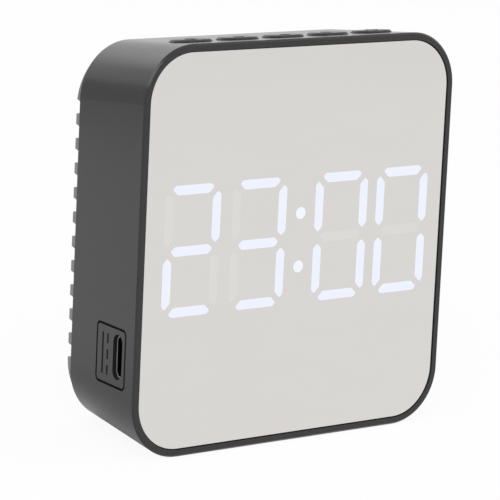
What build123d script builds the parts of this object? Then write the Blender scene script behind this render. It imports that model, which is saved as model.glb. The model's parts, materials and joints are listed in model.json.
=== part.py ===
"""Digital LED desk clock: a tapered case with a mirror front, five top buttons, a side socket
and a ribbed back with a battery door. The walls draw in towards the back, so the clock that
stands on its bottom wall leans back by the angle of that draw."""
import os
from math import atan2, ceil, copysign, cos, degrees, sin, sqrt

from build123d import *

os.makedirs("parts", exist_ok=True)

# Case. Its depth follows from the socket, the board, the cells and the door, one behind the other
face_width = 80.0
face_height = 83.5
corner_radius = 11.6
wall_draw = 2.4
wall = 2.0
rim_width = 1.5
rim_bevel = 0.4
front_wall = 1.4

# Mirror panel and its adhesive frame
mirror_recess = 0.3
mirror_thickness = 1.2
mirror_gap = 0.06
mirror_bevel = 0.15
tape_thickness = 0.2
tape_width = 1.6
tape_margin = 0.3

# Display: four digits of seven segments and two dots between them
display_x = 0.6
display_y = 0.25
display_margin = 5.5
digit_gap = 2.05
colon_gap = 7.3
digit_height = 26.9
bar_shortening = 3.8
bar_stroke = 2.0
upright_stroke = 2.35
segment_gap = 1.36
tip_share = 0.36
dot_diameter = 2.7
dot_rise = 5.55
lit_letters = ("abged", "abgcd", "abcdef", "abcdef")
reflector_side_margin = 0.8
reflector_end_margin = 1.8
window_gap = 0.25
guide_depth = 2.2
guide_gap = 0.05
led_length = 1.6
led_width = 0.8
led_height = 0.7

# Side socket under the display, and the groove around it in the drafted left wall
port_depth = 6.69
port_clearance = 1.98
port_slot_gap = 0.15
groove_behind = 2.63
groove_below = 0.2
groove_length_along = 11.7
groove_length_up = 12.5
groove_radius = 1.3
groove_line = 0.5
groove_depth = 0.42
socket_length = 7.35
socket_width = 8.94
socket_thickness = 3.26
socket_sheet = 0.3
socket_recess = 1.0
socket_block = 1.9
tongue_width = 6.7
tongue_thickness = 0.7
tongue_recess = 0.8
tongue_gap = 0.05

# Top buttons and the switches under them
button_count = 5
button_row_margin = 0.3
button_spacing = 2.3
button_width = 5.6
button_depth = 8.05
button_proud = 0.45
button_chamfer = 0.35
button_gap = 0.15
button_travel = 0.4
flange_lip = 0.8
flange_thickness = 0.9
flange_gap = 0.15
stem_length = 1.2
stem_width = 3.2
stem_depth = 2.2
switch_width = 6.0
switch_height = 4.5
switch_depth = 3.5
switch_chamfer = 0.3
plunger_width = 2.4
plunger_depth = 1.6
plunger_out = 1.3
plunger_in = 1.0
plunger_gap = 0.1

# Circuit board and what is soldered to its back
board_thickness = 1.6
board_gap = 0.8
board_clearance = 1.73
board_notch_gap = 0.5
board_screw_inset = 15.0
board_screw_rise = 3.0
board_boss_radius = 2.3
board_screw_radius = 0.95
board_screw_length = 4.8
board_head_radius = 1.9
board_head_height = 1.3
screw_gap = 0.08
chip_length = 15.4
chip_width = 7.5
chip_height = 2.3
chip_x = -8.0
crystal_radius = 1.5
crystal_length = 8.0
crystal_x = 2.2
regulator_length = 4.5
regulator_width = 2.5
regulator_height = 1.5
regulator_tab = 1.2
regulator_x = 2.0
capacitor_radius = 3.15
capacitor_height = 5.6
capacitor_x = -8.0
buzzer_radius = 4.8
buzzer_height = 5.0
buzzer_hole_radius = 1.0
buzzer_x = 14.0
small_part_length = 1.6
small_part_width = 0.8
small_part_height = 0.55
small_part_rows = 3
small_part_columns = 4
small_part_pitch = 3.0
small_parts_inset = 23.0
part_gap = 1.2

# Posts and screws that join the rear cover to the case
post_end_inset = 10.25
post_radius = 3.1
post_gap = 0.4
cover_screw_radius = 1.4
cover_screw_length = 9.0
cover_head_radius = 2.6
cover_head_height = 1.7
cover_head_seat = 1.2
cover_hole_gap = 0.25

# Ribbed rear cover
cover_plate = 2.4
cover_gap = 0.15
rib_inset = 0.38
rib_corner_extra = 1.6
rib_height = 1.9
rib_lean = 0.2
rib_count = 11
rib_pitch = 5.03
rib_middle = 0.8
groove_floor = 2.1
groove_mouth = 2.9
sound_hole_radius = 0.8
sound_hole_pitch = 3.4
sound_hole_count = 3

# Battery bay, door, cells and contacts
cell_radius = 5.15
cell_body = 43.2
nub_radius = 1.8
nub_length = 1.2
cell_space = 0.4
cell_gap = 0.25
cell_count = 3
bay_wall = 1.2
door_plate = 1.6
door_skip_count = 2
door_overlap = 3.0
door_gap = 0.25
tab_x = 16.0
tab_width = 6.0
tab_reach = 1.2
tab_thickness = 1.0
tab_gap = 0.3
tab_relief = 2.6
latch_width = 9.0
latch_reach = 1.6
finger_width = 13.0
contact_sheet = 0.4
contact_width = 7.0
contact_foot = 1.5
contact_length = 9.0
contact_crest = 2.0
leaf_reach = 2.4
plate_reach = 1.1
contact_gap = 0.05
contact_tab_width = 3.0
contact_slot_gap = 0.3

# Depths behind the face, from the socket back to the door
mirror_back = mirror_recess + mirror_thickness
pocket_depth = mirror_back + tape_thickness
cavity_front = pocket_depth + front_wall
board_front = port_depth + socket_thickness / 2
board_back = board_front + board_thickness
switch_axis = board_front - switch_depth / 2
bay_floor = board_back + board_clearance + bay_wall
cell_depth = bay_floor + cell_gap + cell_radius
door_seat = cell_depth + cell_radius + cell_gap
case_depth = door_seat + door_plate
cover_front = case_depth - cover_plate
cover_head_depth = case_depth - cover_head_seat

# The leaning frame: face is the plane of the front rim, centred on it and looking outwards
lean = atan2(wall_draw, case_depth)
base_length = sqrt(case_depth ** 2 + wall_draw ** 2)
face = Plane(
    origin=(0, face_height / 2 * sin(lean) - base_length / 2, face_height / 2 * cos(lean)),
    x_dir=(1, 0, 0),
    z_dir=(0, -cos(lean), sin(lean)),
)
backwards = face.z_dir * -1


def behind(depth):
    """Plane parallel to the face: x to the right, y up, and outwards towards the viewer."""
    return face.offset(-depth)


def level(height):
    """Plane square to the face: x to the right, y backwards from the face, and outwards up."""
    return Plane(face.from_local_coords((0, height, 0)), x_dir=face.x_dir, z_dir=face.y_dir)


def across(x):
    """Plane square to the face: x backwards from the face, y up, and outwards to the right."""
    return Plane(face.from_local_coords((x, 0, 0)), x_dir=backwards, z_dir=face.x_dir)


def drawn_in(depth):
    """How far every wall has drawn in at a depth behind the face."""
    return wall_draw * depth / case_depth


def outline_at(depth, inset=0.0, extra_radius=0.0, mode=Mode.ADD):
    """Rounded outline of the case at a depth behind the face, moved inwards by inset."""
    side = drawn_in(depth) + inset
    radius = corner_radius - inset + extra_radius
    return RectangleRounded(face_width - 2 * side, face_height - 2 * side, radius, mode=mode)


def drafted_block(near, far, inset):
    """Block between two depths with flat walls that draw in, and one radius along all its corners."""
    near_x, far_x = (face_width / 2 - drawn_in(depth) - inset for depth in (near, far))
    near_y, far_y = (face_height / 2 - drawn_in(depth) - inset for depth in (near, far))
    with BuildPart() as block:
        with BuildSketch(level(-face_height / 2)):
            Polygon((-near_x, near), (near_x, near), (far_x, far), (-far_x, far), align=None)
        extrude(amount=face_height)
        with BuildSketch(across(-face_width / 2)):
            Polygon((near, -near_y), (far, -far_y), (far, far_y), (near, near_y), align=None)
        extrude(amount=face_width, mode=Mode.INTERSECT)
        drafted = block.edges().filter_by(lambda edge: abs(edge.tangent_at(0.5).dot(backwards)) > sin(lean))
        fillet(drafted, corner_radius - inset)
    return block.part


def inner_top(depth):
    """Height of the top wall's inner surface above the middle of the face."""
    return face_height / 2 - wall - drawn_in(depth)


def save(piece, name):
    """Label a finished piece and write it out."""
    piece.label = name
    export_step(piece, f"parts/{name}.step")


# The drafted top and left walls, each as a plane on its outer surface
top_slope = backwards - face.y_dir * (wall_draw / case_depth)
top_wall = Plane(
    face.from_local_coords((0, face_height / 2, 0)),
    x_dir=face.x_dir,
    z_dir=face.x_dir.cross(top_slope),
)
left_slope = backwards + face.x_dir * (wall_draw / case_depth)
left_wall = Plane(
    face.from_local_coords((-face_width / 2, 0, 0)),
    x_dir=left_slope,
    z_dir=left_slope.cross(face.y_dir),
)

# Heights above the middle of the face, from the top wall down to the board
flange_back = button_depth + button_width / 2 + flange_lip
flange_bottom = inner_top(flange_back) - flange_gap - flange_thickness
plunger_top = flange_bottom - stem_length
switch_top = plunger_top - plunger_out
board_bottom = drawn_in(board_back) + wall + board_gap - face_height / 2
board_width = face_width - 2 * (drawn_in(board_back) + wall + board_gap)

# Rows and grids
button_row = face_width - 2 * (corner_radius + button_row_margin)
button_length = (button_row - (button_count - 1) * button_spacing) / button_count
button_pitch = button_length + button_spacing
flange_width = button_width + 2 * flange_lip
flange_cut = flange_width * (1 - 1 / sqrt(2))
button_xs = [(i - (button_count - 1) / 2) * button_pitch for i in range(button_count)]
groove_heights = [rib_middle + ((rib_count - 1) / 2 - i) * rib_pitch for i in range(rib_count)]
display_width = face_width - 2 * display_margin
digit_width = (display_width - 2 * digit_gap - colon_gap) / len(lit_letters)
inner_digit_x = (digit_width + colon_gap) / 2
outer_digit_x = (display_width - digit_width) / 2
reflector_width = display_width + 2 * reflector_side_margin
reflector_height = digit_height + 2 * reflector_end_margin
port_height = display_y - reflector_height / 2 - port_clearance - socket_width / 2
socket_mouth = drawn_in(port_depth) + socket_recess - face_width / 2
upper_post_x = button_xs[-1] + switch_width / 2 + post_gap + post_radius
lower_post_x = -socket_mouth - socket_length - post_gap - post_radius
post_y = face_height / 2 - post_end_inset
board_screw_x = face_width / 2 - board_screw_inset
board_screw_y = reflector_height / 2 + board_screw_rise
upper_posts = [(-upper_post_x, post_y), (upper_post_x, post_y)]
lower_posts = [(-lower_post_x, -post_y), (lower_post_x, -post_y)]
post_points = upper_posts + lower_posts
board_screw_points = [(side * board_screw_x, end * board_screw_y) for side in (-1, 1) for end in (-1, 1)]
digit_xs = (-outer_digit_x, -inner_digit_x, inner_digit_x, outer_digit_x)

# Battery bay and door, placed on the ribs' own grid, and what lies above and below them on the board
cell_pitch = 2 * cell_radius + cell_space
bay_length = cell_body + nub_length + leaf_reach + plate_reach + 2 * contact_gap
bay_height = (cell_count - 1) * cell_pitch + 2 * (cell_radius + cell_gap)
door_rib_count = ceil(bay_height / rib_pitch)
door_width = bay_length + 2 * door_overlap
door_top = groove_heights[door_skip_count] - door_gap / 2
door_bottom = groove_heights[door_skip_count + door_rib_count] + door_gap / 2
door_y = (door_top + door_bottom) / 2
above_bay = door_y + bay_height / 2 + bay_wall + part_gap
below_bay = door_y - bay_height / 2 - bay_wall - part_gap
small_parts_x = face_width / 2 - small_parts_inset
small_parts_y = above_bay + ((small_part_rows - 1) * small_part_pitch + small_part_width) / 2
cell_ys = [door_y + ((cell_count - 1) / 2 - i) * cell_pitch for i in range(cell_count)]
tab_ends = [(-1, cell_ys[0]), (1 if cell_count % 2 else -1, cell_ys[-1])]

# Display outlines
bar_length = digit_width - bar_shortening
bar_y = (digit_height - bar_stroke) / 2
upright_x = (digit_width - upright_stroke) / 2
corner_tip = 0.5 - tip_share
upright_low = segment_gap * sqrt(2) - upright_x + bar_length / 2
upright_high = (
    digit_width / 2 - tip_share * upright_stroke - bar_length / 2
    + digit_height / 2 - tip_share * bar_stroke - segment_gap * sqrt(2)
)
upright_length = upright_high - upright_low
upright_y = (upright_high + upright_low) / 2

# Each segment: x, y, turn, length, stroke, and how far its two tips lie off the middle line
bar_tip = corner_tip * bar_stroke
upright_tip = corner_tip * upright_stroke
segments = {
    "a": (0, bar_y, 0, bar_length, bar_stroke, bar_tip, bar_tip),
    "b": (upright_x, upright_y, 90, upright_length, upright_stroke, 0, -upright_tip),
    "c": (upright_x, -upright_y, 90, upright_length, upright_stroke, -upright_tip, 0),
    "d": (0, -bar_y, 0, bar_length, bar_stroke, -bar_tip, -bar_tip),
    "e": (-upright_x, -upright_y, 90, upright_length, upright_stroke, upright_tip, 0),
    "f": (-upright_x, upright_y, 90, upright_length, upright_stroke, 0, upright_tip),
    "g": (0, 0, 0, bar_length, bar_stroke, 0, 0),
}
all_letters = ["abcdefg"] * len(digit_xs)
dark_letters = ["".join(sorted(set("abcdefg") - set(lit))) for lit in lit_letters]
dot_points = [(display_x, display_y + dot_rise), (display_x, display_y - dot_rise)]


def segment_places(letters_by_digit):
    """The segments named for each digit, each with the middle of its digit."""
    return [(digit_x, letter) for digit_x, letters in zip(digit_xs, letters_by_digit) for letter in letters]


def draw_segments(letters_by_digit, grow=0.0):
    """Pointed outline of each named segment, grown all round."""
    for digit_x, letter in segment_places(letters_by_digit):
        x, y, turn, length, stroke, start_tip, end_tip = segments[letter]
        half = length / 2 + grow * sqrt(2)
        side = stroke / 2 + grow
        outline = [
            (-half, start_tip),
            (-half + side + start_tip, -side),
            (half - side - end_tip, -side),
            (half, end_tip),
            (half - side + end_tip, side),
            (-half + side - start_tip, side),
        ]
        with Locations(Location((display_x + digit_x + x, display_y + y), turn)):
            Polygon(*outline, align=None)


def draw_dots(grow=0.0):
    """The two dots between the hours and the minutes, grown all round."""
    with Locations(*dot_points):
        Circle(dot_diameter / 2 + grow)


# Case: a drafted shell, open at the back, with the seat of the mirror and the display window in front
case_block = drafted_block(0, case_depth, 0)
case_room = drafted_block(cavity_front, case_depth, wall)
with BuildPart() as case_shell:
    add(case_block)
    chamfer(case_shell.faces().sort_by(Axis(face.origin, face.z_dir))[-1].edges(), rim_bevel)
    with BuildSketch(behind(0)):
        outline_at(0, rim_width)
    extrude(amount=-pocket_depth, mode=Mode.SUBTRACT)
    add(case_room, mode=Mode.SUBTRACT)
    with BuildSketch(behind(pocket_depth)):
        with Locations((display_x, display_y)):
            Rectangle(reflector_width + 2 * window_gap, reflector_height + 2 * window_gap)
    extrude(amount=-front_wall, mode=Mode.SUBTRACT)
    # Posts for the rear cover and bosses for the board, with the bores of their screws
    with BuildSketch(behind(cavity_front)):
        with Locations(*post_points):
            Circle(post_radius)
    extrude(amount=cavity_front - cover_front)
    with BuildSketch(behind(cavity_front)):
        with Locations(*board_screw_points):
            Circle(board_boss_radius)
    extrude(amount=cavity_front - board_front)
    with BuildSketch(behind(cover_front)):
        with Locations(*post_points):
            Circle(cover_screw_radius + screw_gap)
    extrude(amount=cover_screw_length, mode=Mode.SUBTRACT)
    with BuildSketch(behind(board_front)):
        with Locations(*board_screw_points):
            Circle(board_screw_radius + screw_gap)
    extrude(amount=board_screw_length, mode=Mode.SUBTRACT)
    # Button holes through the top wall
    with BuildSketch(level(face_height / 2 + wall)):
        with Locations(*[(x, button_depth) for x in button_xs]):
            SlotOverall(button_length + 2 * button_gap, button_width + 2 * button_gap)
    extrude(amount=-2 * wall - wall_draw, mode=Mode.SUBTRACT)
    # Socket slot and the groove around it in the left wall
    with BuildSketch(across(-face_width / 2)):
        with Locations((port_depth, port_height)):
            SlotOverall(socket_width + 2 * port_slot_gap, socket_thickness + 2 * port_slot_gap, rotation=90)
    extrude(amount=wall_draw + wall, mode=Mode.SUBTRACT)
    with BuildSketch(left_wall):
        with Locations((port_depth / cos(lean) + groove_behind, port_height - groove_below)):
            RectangleRounded(groove_length_along, groove_length_up, groove_radius)
            RectangleRounded(
                groove_length_along - 2 * groove_line,
                groove_length_up - 2 * groove_line,
                groove_radius - groove_line,
                mode=Mode.SUBTRACT,
            )
    extrude(amount=groove_depth, mode=Mode.SUBTRACT)
save(case_shell.part, "case_shell")

# Mirror panel, bevelled round its front edge
with BuildPart() as mirror_panel:
    with BuildSketch(behind(mirror_back)):
        outline_at(0, rim_width + mirror_gap)
    extrude(amount=mirror_thickness)
    chamfer(mirror_panel.faces().sort_by(Axis(face.origin, face.z_dir))[-1].edges(), mirror_bevel)
save(mirror_panel.part, "mirror_panel")

with BuildPart() as mirror_tape:
    with BuildSketch(behind(pocket_depth)):
        outline_at(0, rim_width + mirror_gap + tape_margin)
        outline_at(0, rim_width + mirror_gap + tape_margin + tape_width, mode=Mode.SUBTRACT)
    extrude(amount=tape_thickness)
save(mirror_tape.part, "mirror_tape")

# Display: reflector block on the board, light guides in its cavities and a chip under each guide
with BuildPart() as light_reflector:
    with BuildSketch(behind(board_front)):
        with Locations((display_x, display_y)):
            Rectangle(reflector_width, reflector_height)
    extrude(amount=board_front - pocket_depth)
    with BuildSketch(behind(board_front)):
        draw_segments(all_letters, guide_gap)
        draw_dots(guide_gap)
    extrude(amount=board_front - pocket_depth, mode=Mode.SUBTRACT)
save(light_reflector.part, "light_reflector")

with BuildPart() as lit_segments:
    with BuildSketch(behind(pocket_depth + guide_depth)):
        draw_segments(lit_letters)
        draw_dots()
    extrude(amount=guide_depth)
save(lit_segments.part, "lit_segments")

with BuildPart() as dark_segments:
    with BuildSketch(behind(pocket_depth + guide_depth)):
        draw_segments(dark_letters)
    extrude(amount=guide_depth)
save(dark_segments.part, "dark_segments")

with BuildPart() as led_chips:
    with BuildSketch(behind(board_front)):
        for digit_x, letter in segment_places(all_letters):
            x, y, turn = segments[letter][:3]
            with Locations(Location((display_x + digit_x + x, display_y + y), turn)):
                Rectangle(led_length, led_width)
        with Locations(*dot_points):
            Rectangle(led_length, led_width)
    extrude(amount=led_height)
save(led_chips.part, "led_chips")

# Circuit board, notched round the posts, with the parts on its back
with BuildPart() as main_board:
    with BuildSketch(behind(board_back)):
        with Locations((0, (switch_top + board_bottom) / 2)):
            Rectangle(board_width, switch_top - board_bottom)
        for x, y in post_points:
            notch_x = abs(x) - post_radius - board_notch_gap
            notch_y = abs(y) - post_radius - board_notch_gap
            with Locations((copysign(notch_x + face_width / 4, x), copysign(notch_y + face_height / 4, y))):
                Rectangle(face_width / 2, face_height / 2, mode=Mode.SUBTRACT)
        with Locations(*board_screw_points):
            Circle(board_screw_radius + 2 * screw_gap, mode=Mode.SUBTRACT)
    extrude(amount=board_thickness)
save(main_board.part, "main_board")

with BuildPart() as board_screws:
    with BuildSketch(behind(board_back)):
        with Locations(*board_screw_points):
            Circle(board_head_radius)
    extrude(amount=-board_head_height)
    with BuildSketch(behind(board_back)):
        with Locations(*board_screw_points):
            Circle(board_screw_radius)
    extrude(amount=board_screw_length)
save(board_screws.part, "board_screws")

with BuildPart() as control_chip:
    with BuildSketch(behind(board_back)):
        with Locations((chip_x, above_bay + chip_width / 2)):
            Rectangle(chip_length, chip_width)
    extrude(amount=-chip_height)
    chamfer(control_chip.faces().sort_by(Axis(face.origin, face.z_dir))[0].edges(), chip_height / 6)
save(control_chip.part, "control_chip")

with BuildPart() as clock_crystal:
    with BuildSketch(level(above_bay)):
        with Locations((crystal_x, board_back + crystal_radius)):
            Circle(crystal_radius)
    extrude(amount=crystal_length)
save(clock_crystal.part, "clock_crystal")

with BuildPart() as voltage_regulator:
    with BuildSketch(behind(board_back)):
        with Locations((regulator_x, below_bay - regulator_width / 2)):
            Rectangle(regulator_length, regulator_width)
    extrude(amount=-regulator_height)
    with BuildSketch(behind(board_back)):
        with Locations((regulator_x, below_bay - regulator_width - regulator_tab / 2)):
            Rectangle(regulator_length / 2, regulator_tab)
    extrude(amount=-regulator_height / 3)
save(voltage_regulator.part, "voltage_regulator")

with BuildPart() as smoothing_capacitor:
    with BuildSketch(behind(board_back)):
        with Locations((capacitor_x, below_bay - capacitor_radius)):
            Circle(capacitor_radius)
    extrude(amount=-capacitor_height)
save(smoothing_capacitor.part, "smoothing_capacitor")

with BuildPart() as buzzer:
    with BuildSketch(behind(board_back)):
        with Locations((buzzer_x, below_bay - buzzer_radius)):
            Circle(buzzer_radius)
    extrude(amount=-buzzer_height)
    with BuildSketch(behind(board_back + buzzer_height)):
        with Locations((buzzer_x, below_bay - buzzer_radius)):
            Circle(buzzer_hole_radius)
    extrude(amount=buzzer_height / 2, mode=Mode.SUBTRACT)
save(buzzer.part, "buzzer")

with BuildPart() as small_parts:
    with BuildSketch(behind(board_back)):
        with Locations((small_parts_x, small_parts_y)):
            with GridLocations(small_part_pitch, small_part_pitch, small_part_columns, small_part_rows):
                Rectangle(small_part_length, small_part_width)
    extrude(amount=-small_part_height)
save(small_parts.part, "small_parts")

# Side socket: a folded sheet shell with the tongue on a block inside it
with BuildPart() as usb_shell:
    with BuildSketch(across(socket_mouth)):
        with Locations((port_depth, port_height)):
            SlotOverall(socket_width, socket_thickness, rotation=90)
            SlotOverall(
                socket_width - 2 * socket_sheet,
                socket_thickness - 2 * socket_sheet,
                rotation=90,
                mode=Mode.SUBTRACT,
            )
    extrude(amount=socket_length)
save(usb_shell.part, "usb_shell")

with BuildPart() as usb_tongue:
    with BuildSketch(across(socket_mouth + socket_length - socket_block)):
        with Locations((port_depth, port_height)):
            SlotOverall(
                socket_width - 2 * (socket_sheet + tongue_gap),
                socket_thickness - 2 * (socket_sheet + tongue_gap),
                rotation=90,
            )
    extrude(amount=socket_block)
    with BuildSketch(across(socket_mouth + tongue_recess)):
        with Locations((port_depth, port_height)):
            Rectangle(tongue_thickness, tongue_width)
    extrude(amount=socket_length - socket_block - tongue_recess)
save(usb_tongue.part, "usb_tongue")

# Switches on the front of the board, with a pocket for each plunger
with BuildPart() as tact_switches:
    with BuildSketch(level(switch_top)):
        with Locations(*[(x, switch_axis) for x in button_xs]):
            Rectangle(switch_width, switch_depth)
    extrude(amount=-switch_height)
    chamfer(tact_switches.edges().filter_by(Axis(face.origin, face.y_dir)), switch_chamfer)
    with BuildSketch(level(switch_top)):
        with Locations(*[(x, switch_axis) for x in button_xs]):
            Rectangle(plunger_width + 2 * plunger_gap, plunger_depth + 2 * plunger_gap)
    extrude(amount=-plunger_in - button_travel - plunger_gap, mode=Mode.SUBTRACT)
save(tact_switches.part, "tact_switches")

# Buttons: a crowned pill with a flange under the top wall and a stem down to its plunger
crown = top_wall.offset(button_proud)
under_wall = top_wall.offset(-wall * cos(lean) - flange_gap)
for number, x in enumerate(button_xs, start=1):
    with BuildPart() as button:
        with BuildSketch(level(flange_bottom)) as flange:
            with Locations((x, button_depth)):
                Rectangle(button_length + 2 * flange_lip, flange_width)
            chamfer(flange.vertices(), flange_cut)
        extrude(amount=flange_thickness + wall)
        split(bisect_by=under_wall, keep=Keep.BOTTOM)
        with BuildSketch(level(flange_bottom)):
            with Locations((x, button_depth)):
                SlotOverall(button_length, button_width)
        extrude(amount=face_height / 2 + wall - flange_bottom)
        split(bisect_by=crown, keep=Keep.BOTTOM)
        chamfer(button.faces().sort_by(Axis(face.origin, face.y_dir))[-1].edges(), button_chamfer)
        with BuildSketch(level(plunger_top)):
            with Locations((x, switch_axis)):
                Rectangle(stem_width, stem_depth)
        extrude(amount=stem_length)
    save(button.part, f"button_{number}")

    with BuildPart() as switch_plunger:
        with BuildSketch(level(plunger_top)):
            with Locations((x, switch_axis)):
                Rectangle(plunger_width, plunger_depth)
        extrude(amount=-plunger_out - plunger_in)
    save(switch_plunger.part, f"switch_plunger_{number}")


def groove_profile():
    """Sections of the level grooves across the back, wider at their mouths."""
    with BuildSketch(across(-face_width / 2)) as profile:
        with Locations(*[(case_depth, y) for y in groove_heights]):
            Polygon(
                (0, -groove_floor / 2),
                (rib_height, -groove_mouth / 2),
                (rib_height, groove_mouth / 2),
                (0, groove_floor / 2),
                align=None,
            )
    return profile.sketch


cover_plug = drafted_block(cover_front, case_depth, wall + cover_gap)
with BuildPart() as rear_cover:
    add(cover_plug)
    with BuildSketch(Plane(behind(case_depth).origin, x_dir=face.x_dir, z_dir=backwards)):
        outline_at(case_depth, rib_inset, rib_corner_extra)
    extrude(amount=rib_height, taper=degrees(atan2(rib_lean, rib_height)))
    extrude(groove_profile(), amount=face_width, mode=Mode.SUBTRACT)
    # Bay: a tray of thin walls in front of the plate, then the room for the cells and the door
    with BuildSketch(behind(cover_front)):
        with Locations((0, door_y)):
            Rectangle(bay_length + 2 * bay_wall, bay_height + 2 * bay_wall)
    extrude(amount=cover_front - bay_floor + bay_wall)
    with BuildSketch(behind(case_depth)):
        with Locations((0, door_y)):
            Rectangle(bay_length, bay_height)
    extrude(amount=case_depth - bay_floor, mode=Mode.SUBTRACT)
    with BuildSketch(behind(door_seat)):
        with Locations((0, door_y)):
            Rectangle(door_width + 2 * door_gap, door_top - door_bottom + 2 * door_gap)
    extrude(amount=door_seat - case_depth - rib_height, mode=Mode.SUBTRACT)
    # Relief for the door's tabs under the lower edge, and for its latch under a finger notch
    with BuildSketch(behind(case_depth - door_plate + tab_thickness + tab_gap)):
        with Locations(*[(x, door_bottom) for x in (-tab_x, tab_x)]):
            Rectangle(tab_width + 2 * tab_gap, 2 * (tab_reach + tab_gap))
    extrude(amount=tab_relief - door_plate + tab_thickness + tab_gap, mode=Mode.SUBTRACT)
    with BuildSketch(behind(door_seat)):
        with Locations((0, door_top)):
            Rectangle(latch_width + 2 * door_gap, 2 * (latch_reach + door_gap))
    extrude(amount=-door_plate, mode=Mode.SUBTRACT)
    with BuildSketch(behind(case_depth)):
        with Locations((0, door_top)):
            Rectangle(finger_width, 2 * rib_pitch)
    extrude(amount=-rib_height, mode=Mode.SUBTRACT)
    # Slots for the two contact tabs that reach the board
    with BuildSketch(behind(bay_floor)):
        with Locations(*[(end * (bay_length - contact_sheet) / 2, y) for end, y in tab_ends]):
            Rectangle(contact_sheet + 2 * contact_slot_gap, contact_tab_width + 2 * contact_slot_gap)
    extrude(amount=bay_wall, mode=Mode.SUBTRACT)
    # Screw seats in the lands and sound holes in the lowest groove
    with BuildSketch(behind(cover_front)):
        with Locations(*post_points):
            Circle(cover_screw_radius + cover_hole_gap)
    extrude(amount=cover_front - case_depth - rib_height, mode=Mode.SUBTRACT)
    with BuildSketch(behind(cover_head_depth)):
        with Locations(*post_points):
            Circle(cover_head_radius + cover_hole_gap)
    extrude(amount=cover_head_depth - case_depth - rib_height, mode=Mode.SUBTRACT)
    with BuildSketch(behind(cover_front)):
        with Locations((buzzer_x, groove_heights[-1])):
            with GridLocations(sound_hole_pitch, 1, sound_hole_count, 1):
                Circle(sound_hole_radius)
    extrude(amount=-cover_plate, mode=Mode.SUBTRACT)
save(rear_cover.part, "rear_cover")

with BuildPart() as cover_screws:
    with BuildSketch(behind(cover_head_depth)):
        with Locations(*post_points):
            Circle(cover_head_radius)
    extrude(amount=-cover_head_height)
    with BuildSketch(behind(cover_head_depth)):
        with Locations(*post_points):
            Circle(cover_screw_radius)
    extrude(amount=cover_screw_length)
save(cover_screws.part, "cover_screws")

with BuildPart() as battery_door:
    with BuildSketch(behind(door_seat)):
        with Locations((0, door_y)):
            Rectangle(door_width, door_top - door_bottom)
    extrude(amount=-door_plate - rib_height)
    extrude(groove_profile(), amount=face_width, mode=Mode.SUBTRACT)
    with BuildSketch(behind(door_seat)):
        with Locations(*[(x, door_bottom) for x in (-tab_x, tab_x)]):
            Rectangle(tab_width, 2 * tab_reach)
    extrude(amount=-tab_thickness)
    with BuildSketch(behind(door_seat)):
        with Locations((0, door_top)):
            Rectangle(latch_width, 2 * latch_reach)
    extrude(amount=-door_plate)
save(battery_door.part, "battery_door")

# Cells in series, turned about one by one, each between a leaf and a plate contact
with BuildPart() as battery_cells:
    for i, y in enumerate(cell_ys):
        towards = 1 if i % 2 == 0 else -1
        minus_end = towards * (leaf_reach + contact_gap - bay_length / 2)
        with BuildSketch(across(minus_end)):
            with Locations((cell_depth, y)):
                Circle(cell_radius)
        extrude(amount=towards * cell_body)
        with BuildSketch(across(minus_end + towards * cell_body)):
            with Locations((cell_depth, y)):
                Circle(nub_radius)
        extrude(amount=towards * nub_length)
save(battery_cells.part, "battery_cells")


def bowed_strip(y, end, reach):
    """Strip on the bay's end wall that bows out to the cell by reach. end is -1 left, 1 right."""
    wall_x = end * bay_length / 2
    flat_x = wall_x - end * contact_sheet / 2
    crest_x = wall_x - end * (reach - contact_sheet / 2)
    with BuildSketch(level(y - contact_width / 2)) as strip:
        with BuildLine():
            Polyline(
                (flat_x, bay_floor),
                (flat_x, bay_floor + contact_foot),
                (crest_x, cell_depth - contact_crest / 2),
                (crest_x, cell_depth + contact_crest / 2),
                (flat_x, bay_floor + contact_length),
            )
        trace(line_width=contact_sheet)
    return strip.sketch


def flat_strip(end, low, high, near, far):
    """Flat strip on the bay's end wall between two heights and two depths."""
    with BuildSketch(across(end * bay_length / 2)) as strip:
        with Locations(((near + far) / 2, (low + high) / 2)):
            Rectangle(far - near, high - low)
    return strip.sketch


with BuildPart() as battery_contacts:
    for i, y in enumerate(cell_ys):
        towards = 1 if i % 2 == 0 else -1
        extrude(bowed_strip(y, -towards, leaf_reach), amount=contact_width)
        extrude(bowed_strip(y, towards, plate_reach), amount=contact_width)
        if i + 1 < cell_count:
            link = flat_strip(towards, cell_ys[i + 1], y, bay_floor, bay_floor + contact_foot)
            extrude(link, amount=-towards * contact_sheet)
    for end, y in tab_ends:
        half_tab = contact_tab_width / 2
        tab = flat_strip(end, y - half_tab, y + half_tab, board_back, bay_floor + contact_foot)
        extrude(tab, amount=-end * contact_sheet)
save(battery_contacts.part, "battery_contacts")

print(f"lean {degrees(lean):.2f} degrees")
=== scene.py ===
"""Finishes and fine detail of the digital LED desk clock, laid out as an add-on and run as a script."""
import json
import math

import bmesh
import bpy
from bpy.props import FloatProperty, FloatVectorProperty, IntProperty, PointerProperty
from mathutils import Matrix, Vector


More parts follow.
